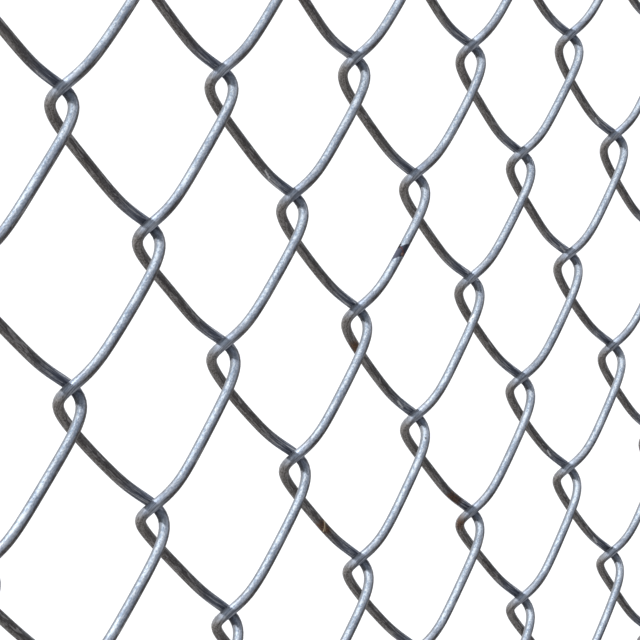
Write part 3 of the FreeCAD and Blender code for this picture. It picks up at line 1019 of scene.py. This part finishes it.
def galvanised_wire():
    """Weathered zinc: pale on the side that faces rain and the key lamp and dark on its lee side,
    partly from weathering and dirt and partly as painted light and shade.
    """
    material, graph = new_material("galvanised_wire")
    straight = graph.attribute("straight")
    normal = graph.node("ShaderNodeTexCoord", output="Normal")
    speckle = straight.stretched(*WIRE_SPECKLE).noise(PLAIN)
    bloom = straight.stretched(*WIRE_BLOOM).noise(PLAIN)
    mottle = straight.stretched(*WIRE_MOTTLE).noise(BROKEN)
    streak = straight.stretched(*WIRE_STREAK).noise(PLAIN)
    worn = straight.stretched(*WIRE_WEAR).noise(PLAIN).step(0.57, 0.65)
    # Knot places of dirt, painted shade and painted shadow
    knot_dirt_and_shade = graph.attribute("knot_dirt_and_shade")
    hook, crossing, rub_and_shadow = (knot_dirt_and_shade.part(axis) for axis in "XYZ")
    shadow_pocket = graph.attribute("shadow_pocket").part("X")
    # Paleness towards the key lamp is partly weathering and partly painted light; darkness away from
    # it is partly dirt and partly painted shade
    weather_and_light = normal.dot(LIT_WEATHER_SIDE) + (mottle - NOISE_MEAN) * MOTTLE_SOIL
    weather_and_light = weather_and_light - hook * HOOK_SOIL_AND_SHADE - crossing * CROSSING_SOIL_AND_SHADE - shadow_pocket * POCKET_SHADOW_DULLING
    washed_and_lit = weather_and_light.step(*WASHED_AND_LIT_STEP).mixed(0.5, weather_and_light.step(*RINSED_AND_LIT_STEP))
    bleached_and_lit = weather_and_light.step(*BLEACHED_AND_LIT_STEP)

    # Painted shade darkens and dulls the rear side of the wires
    rear_shade = normal.part("Y").step(-0.25, 0.35)
    zinc = speckle.mixed(0.65, mottle).step(*NOISE_MIDDLE).blend(ZINC_DARK, ZINC_PALE)
    # Painted blue sky shade where the wire turns away from the key lamp
    zinc = (SKY_SHADE_COVER - bleached_and_lit * SKY_SHADE_COVER).blend(zinc, ZINC_SKY_SHADE)
    # Painted highlight patches of pale bloom on the side that faces the key lamp
    zinc = (bloom.step(0.50, 0.66) * bleached_and_lit * BLOOM_HIGHLIGHT_COVER).blend(zinc, ZINC_BLOOM_HIGHLIGHT)
    zinc = (rear_shade * REAR_SHADE_COVER).blend(zinc, ZINC_REAR_SHADE)

    # Painted shade on the front side, with worn flecks on it
    front = (0 - normal.part("Y")).step(0.56, 0.84)
    # Lee side colour: partly grime and partly painted shade
    grime_and_shade = streak.mixed(0.5, speckle).step(0.40, 0.62).blend(GRIME_AND_SHADE_DARK, GRIME_AND_SHADE_PALE)
    grime_and_shade = (front * FRONT_SHADE_COVER).blend(grime_and_shade, FRONT_SHADE)
    grime_and_shade = (worn * front * WORN_COVER).blend(grime_and_shade, GRIME_WORN)
    # Mud and painted shade in the left hooks, where the crossing wire shades them
    mud_and_shade = speckle.step(*NOISE_MIDDLE).blend(MUD_AND_SHADE_DARK, MUD_AND_SHADE_PALE)
    grime_and_shade = (hook * MUD_AND_SHADE_COVER).blend(grime_and_shade, mud_and_shade)
    # Dirt and painted blue shade behind the crossings, with pale dashes of wear; it also dulls the
    # zinc there
    streaky = streak.step(0.42, 0.60).blend(CROSSING_DARK, CROSSING_PALE)
    dashed = streak.mixed(0.8, speckle).step(0.545, 0.60).blend(streaky, CROSSING_DASH)
    grime_and_shade = (crossing * CROSSING_COVER).blend(grime_and_shade, dashed)
    # Painted blue shadow with pale rubbed streaks just before each left hook
    rubbed_and_shadowed = streak.step(0.44, 0.58).blend(KNOT_SHADOW_DARK, KNOT_SHADOW_PALE)
    grime_and_shade = (rub_and_shadow * KNOT_SHADOW_COVER).blend(grime_and_shade, rubbed_and_shadowed)
    # Painted shadow on top of each right hook, which also dulls the zinc there
    grime_and_shade = (shadow_pocket * POCKET_SHADOW_COVER).blend(grime_and_shade, POCKET_SHADOW_DARK)

    base, stain_and_shadow = marked(graph, washed_and_lit.blend(grime_and_shade, zinc), normal, speckle)
    clean = washed_and_lit * (1 - stain_and_shadow) * (1 - rear_shade * 0.6)
    surface(
        graph,
        Base_Color=base,
        Metallic=clean * 0.62,
        Roughness=0.58 - clean * (0.08 + bloom * 0.14),
        Specular_IOR_Level=0.06,
        Normal=speckle.bump(0.3, 0.1 * MM),
    )
    return material


def marked(graph, base, normal, speckle):
    """Wire colour with its marks over it, and how much of the zinc the stains and the painted shadow
    hide.

    A scar is a dark slanting patch of painted shadow with a rust line, spot and nick,
    a rust spot a brown stain, a chip a short bright fleck along the wire, a scratch
    two pale slanting lines and a pit a dark dot. Places along the wire are in millimetres.
    """
    marks = graph.attribute("marks")
    small_marks = graph.attribute("small_marks")
    scar, rust, chip = (MM_PER_METRE * marks.part(axis) for axis in "XYZ")
    scratch, pit = (MM_PER_METRE * small_marks.part(axis) for axis in "XY")
    facing = normal.dot(MARK_SIDE)
    seen = facing.step(0.3, 0.5)
    across = normal.dot(MARK_ACROSS)
    along_scratch = normal.dot(SCRATCH_ACROSS)
    ragged = speckle - NOISE_MEAN

    lengthwise = along_scratch + ragged * 0.5 - chip * 0.12
    chipped = (chip + ragged * 1.6).near(*CHIP_LENGTH) * lengthwise.near(*CHIP_WIDTH) * seen
    base = chipped.blend(base, CHIP_BRIGHT)
    dotted = pit.near(*PIT_LENGTH) * (across + 0.09).near(*PIT_WIDTH) * seen
    base = (dotted * PIT_COVER).blend(base, PIT_DARK)

    stained = (rust + ragged * 4).near(*STAIN_LENGTH) * facing.step(0.1, 0.6)
    brown = speckle.step(*NOISE_MIDDLE).blend(STAIN_DARK, STAIN_BROWN)
    base = (stained * STAIN_COVER).blend(base, brown)
    slant = along_scratch + 0.2 - scratch * 0.48
    lines = slant.near(*SCRATCH_WIDTH) + (slant + 0.4).near(*FAINT_SCRATCH_WIDTH) * 0.5
    base = (lines * scratch.near(*SCRATCH_LENGTH)).blend(base, SCRATCH_PALE)

    # Painted shadow band of the scar, darker on one side
    shadow_patch = (scar + across * 1.7 + ragged).near(*SCAR_SHADOW_LENGTH) * facing.step(-0.3, 0.0)
    base = shadow_patch.blend(base, across.step(-0.5, 0.5).blend(SCAR_SHADOW_BLUE, SCAR_SHADOW_BLACK))
    line = (across - 0.6 - scar * 0.8 + ragged * 0.4).near(*SCAR_LINE_WIDTH)
    base = (line * (scar + 0.5).near(*SCAR_LINE_LENGTH)).blend(base, SCAR_LINE)
    spot = (scar - 0.7 + ragged).near(*SCAR_SPOT_LENGTH) * (across - 0.5).near(*SCAR_SPOT_WIDTH)
    base = spot.blend(base, SCAR_SPOT)
    nick = (scar + 1.7).near(*SCAR_NICK_LENGTH) * (1 - across.step(-0.7, -0.5))
    base = nick.blend(base, SCAR_NICK)
    return base, stained.most(shadow_patch)


def galvanised_sheet(name, light, dark, spangle_size):
    """Hot-dip zinc on tube and strip: crystal spangle, clouding and dirt that gathers below."""
    material, graph = new_material(name)
    straight = graph.attribute("straight")
    place = graph.node("ShaderNodeTexCoord", output="Object")
    warp_cells = SPANGLE_WARP / spangle_size
    warp = straight.stretched(warp_cells, warp_cells).noise(PLAIN)
    cells = straight.stretched(1 / spangle_size, 1 / spangle_size)
    lumps = graph.node("ShaderNodeVectorMath", {0: cells, 1: warp})
    crystals = {"Vector": lumps, "Scale": 1.0, "Randomness": 1.0}
    tone = graph.node("ShaderNodeTexVoronoi", crystals, output="Color").part("X")
    cloud = straight.stretched(*SHEET_CLOUD).noise(RICH)
    grain = straight.stretched(*SHEET_GRAIN).noise(PLAIN)
    rain = place.stretched(*SHEET_RAIN).noise(BROKEN)
    zinc = tone.mixed(0.4, cloud).blend(dark, light)
    bloom = cloud.mixed(0.7, rain).step(0.52, 0.68)
    zinc = (bloom * SHEET_BLOOM_COVER).blend(zinc, SHEET_BLOOM)
    height = place.part("Z") + (cloud - NOISE_MEAN) * DIRT_RAGGED
    low = 1 - height.step(0.0, DIRT_HEIGHT)
    zinc = (low * SHEET_DIRT_COVER).blend(zinc, SHEET_DIRT)
    surface(
        graph,
        Base_Color=zinc,
        Metallic=0.6 - bloom * 0.3 - low * 0.35,
        Roughness=0.34 + tone * 0.12 + bloom * 0.2 + low * 0.15,
        Normal=(grain + tone * 0.6).bump(0.2, 0.12 * MM),
    )
    return material


def cast_alloy():
    """Die-cast cap: pale matt grey with fine pitting and rain marks."""
    material, graph = new_material("cast_alloy")
    straight = graph.attribute("straight")
    pits = straight.stretched(*CAST_PITS).noise(BROKEN)
    cloud = straight.stretched(*CAST_CLOUD).noise(RICH)
    base = cloud.mixed(0.6, pits).step(*NOISE_BROAD).blend(CAST_DARK, CAST_PALE)
    surface(
        graph,
        Base_Color=base,
        Metallic=0.6,
        Roughness=0.42 + cloud * 0.2,
        Normal=pits.bump(0.3, 0.15 * MM),
    )
    return material


def soft_tie():
    """Drawn tie wire: dull pale metal with fine lengthwise scratches."""
    material, graph = new_material("soft_tie")
    straight = graph.attribute("straight")
    scratch = straight.stretched(*TIE_SCRATCH).noise(PLAIN)
    cloud = straight.stretched(*TIE_CLOUD).noise(BROKEN)
    base = scratch.mixed(0.6, cloud).step(*NOISE_BROAD).blend(TIE_DARK, TIE_PALE)
    surface(
        graph,
        Base_Color=base,
        Metallic=0.7,
        Roughness=0.35 + cloud * 0.25,
        Normal=scratch.bump(0.15, 0.08 * MM),
    )
    return material


def plated_bolt():
    """Zinc plated bolts, dulled, with a little rust in cloudy patches."""
    material, graph = new_material("plated_bolt")
    place = graph.node("ShaderNodeTexCoord", output="Object")
    cloud = place.stretched(*BOLT_CLOUD).noise(RICH)
    grain = place.stretched(*BOLT_GRAIN).noise(PLAIN)
    plate = cloud.mixed(0.6, grain).step(0.38, 0.64).blend(BOLT_DARK, BOLT_PALE)
    rust = (cloud + (grain - NOISE_MEAN) * 0.4).step(0.60, 0.72)
    surface(
        graph,
        Base_Color=(rust * BOLT_RUST_COVER).blend(plate, BOLT_RUST),
        Metallic=0.75 - rust * 0.65,
        Roughness=0.36 + rust * 0.4,
        Normal=grain.bump(0.2, 0.1 * MM),
    )
    return material


def seen_directly(graph):
    """1 for rays from the camera, a mirror or glass, and 0 for scattered light."""
    outputs = graph.node("ShaderNodeLightPath").socket.node.outputs
    camera, glossy, clear = (
        Field(graph.tree, outputs[f"Is {kind} Ray"]) for kind in ("Camera", "Glossy", "Transmission")
    )
    return camera.most(glossy).most(clear)


def white_surround(scene):
    """World that is white to the eye and lights the bay with a weak sky."""
    world = bpy.data.worlds.new("surround")
    scene.world = world
    world.use_nodes = True
    world.node_tree.nodes.clear()
    graph = Field(world.node_tree)
    tone = seen_directly(graph).blend(SKY_FILL, WHITE)
    background = graph.node("ShaderNodeBackground", {"Color": tone, "Strength": 1.0})
    graph.node("ShaderNodeOutputWorld", {0: background})


def pale_floor(scene):
    """Square floor at ground level, white to the eye and duller where it scatters light."""
    material, graph = new_material("pale_floor")
    seen = seen_directly(graph)
    surface(
        graph,
        Base_Color=seen.blend(FLOOR_BOUNCE, WHITE),
        Roughness=FLOOR_ROUGHNESS,
        Specular_IOR_Level=0.0,
        Emission_Color=seen.blend(BLACK, FLOOR_GLOW),
        Emission_Strength=1.0,
    )
    floor = bpy.data.meshes.new("floor")
    square = FLOOR_HALF * np.array([[-1, -1, 0], [1, -1, 0], [1, 1, 0], [-1, 1, 0]])
    floor.from_pydata(square.tolist(), [], [(0, 1, 2, 3)])
    floor.materials.append(material)
    ground = bpy.data.objects.new("floor", floor)
    scene.collection.objects.link(ground)


def studio():
    """Pale floor, a key lamp, a weak fill lamp and a white surround."""
    scene = bpy.context.scene
    scene.view_settings.view_transform = "Standard"
    white_surround(scene)
    for name, source, power, angle in (
        ("key", SUN_FROM, SUN_POWER, SUN_ANGLE),
        ("fill", FILL_FROM, FILL_POWER, FILL_ANGLE),
    ):
        lamp = bpy.data.lights.new(name, "SUN")
        lamp.energy = power
        lamp.angle = math.radians(angle)
        holder = bpy.data.objects.new(name, lamp)
        holder.rotation_mode = "QUATERNION"
        holder.rotation_quaternion = Vector(source).to_track_quat("Z", "Y")
        scene.collection.objects.link(holder)
    pale_floor(scene)


def photo_camera():
    """Camera at the photograph's place, measured in diamonds from its first knot."""
    data = bpy.data.cameras.new("photo_camera")
    data.sensor_width = SENSOR
    data.lens = SENSOR * FOCAL_PIXELS / PHOTO_PIXELS
    data.clip_start = CLIP_START
    data.clip_end = CLIP_END
    knot = Vector((
        AXES[PHOTO_COLUMN, 0] - PITCH / 2,
        FABRIC_Y,
        SELVAGE_TOP - PHOTO_ROW * DIAMOND,
    ))
    ahead = Vector((
        math.sin(CAMERA_YAW) * math.cos(CAMERA_PITCH),
        math.cos(CAMERA_YAW) * math.cos(CAMERA_PITCH),
        math.sin(CAMERA_PITCH),
    ))
    level = Vector((math.cos(CAMERA_YAW), -math.sin(CAMERA_YAW), 0.0))
    above = level.cross(ahead)
    right = level * math.cos(CAMERA_ROLL) + above * math.sin(CAMERA_ROLL)
    up = above * math.cos(CAMERA_ROLL) - level * math.sin(CAMERA_ROLL)
    turn = Matrix((right, up, -ahead)).transposed()
    place = knot + Vector(CAMERA_FROM_KNOT) * DIAMOND
    camera = bpy.data.objects.new("photo_camera", data)
    camera.matrix_world = Matrix.Translation(place) @ turn.to_4x4()
    bpy.context.scene.collection.objects.link(camera)
    bpy.context.scene.camera = camera


wire_finish = galvanised_wire()
tube_finish = galvanised_sheet("galvanised_tube", TUBE_PALE, TUBE_DARK, TUBE_SPANGLE)
strip_finish = galvanised_sheet("galvanised_strip", STRIP_PALE, STRIP_DARK, STRIP_SPANGLE)
bolt_finish = plated_bolt()
for index, name in enumerate(pickets):
    woven_wire(index, name, wire_finish)
hollow_tube("left_post_tube", "left_post", Z_AXIS, POST_WALL, tube_finish)
hollow_tube("right_post_tube", "right_post", Z_AXIS, POST_WALL, tube_finish)
hollow_tube("top_rail_tube", "top_rail", X_AXIS, RAIL_WALL, tube_finish)
hollow_tube("bottom_rail_tube", "bottom_rail", X_AXIS, RAIL_WALL, tube_finish)
post_caps(cast_alloy())
for side, hand in (("left", 1), ("right", -1)):
    bands_and_bolts(side, hand, strip_finish, bolt_finish)
    rail_ends(side, hand, strip_finish)
    tension_bar(side, strip_finish)
tie_finish = soft_tie()
rail_ties("top", tie_finish)
rail_ties("bottom", tie_finish)
studio()
photo_camera()
